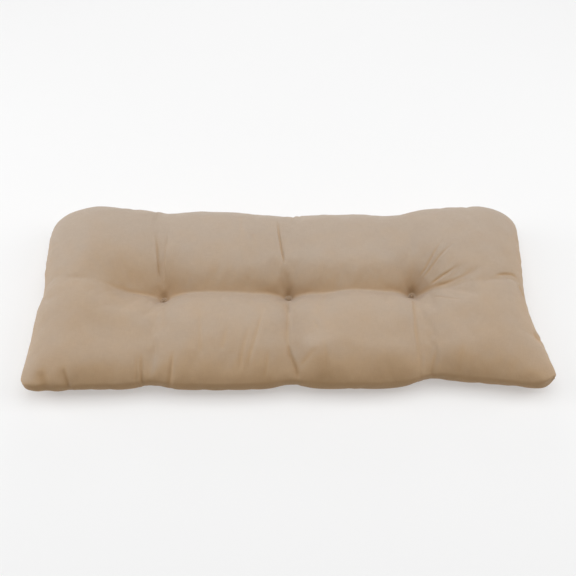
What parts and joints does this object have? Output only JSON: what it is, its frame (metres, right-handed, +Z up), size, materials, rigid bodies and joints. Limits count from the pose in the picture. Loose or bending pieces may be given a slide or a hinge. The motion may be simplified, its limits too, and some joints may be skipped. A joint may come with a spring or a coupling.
{
  "type": "settee cushion",
  "caption": "Long tufted seat cushion with rounded back corners and a filled cloth cover, lying on its flat underside.",
  "frame": {"origin": "under the middle of the cushion's box, on the surface it lies on", "axes": "+X along the seat, to the right when seen from its front; +Y from the front edge to the back edge; +Z up, out of the tufted face"},
  "size_m": [1.1212, 0.4992, 0.1291],
  "materials": {
    "cover_fabric": "matt sand-beige plain-weave polyester",
    "tuft_thread": "matt sand-beige twisted thread"
  },
  "bodies": {
    "root": {"cushion": "cover_fabric", "tuft_left": "tuft_thread", "tuft_centre": "tuft_thread", "tuft_right": "tuft_thread"}
  },
  "joints": []
}
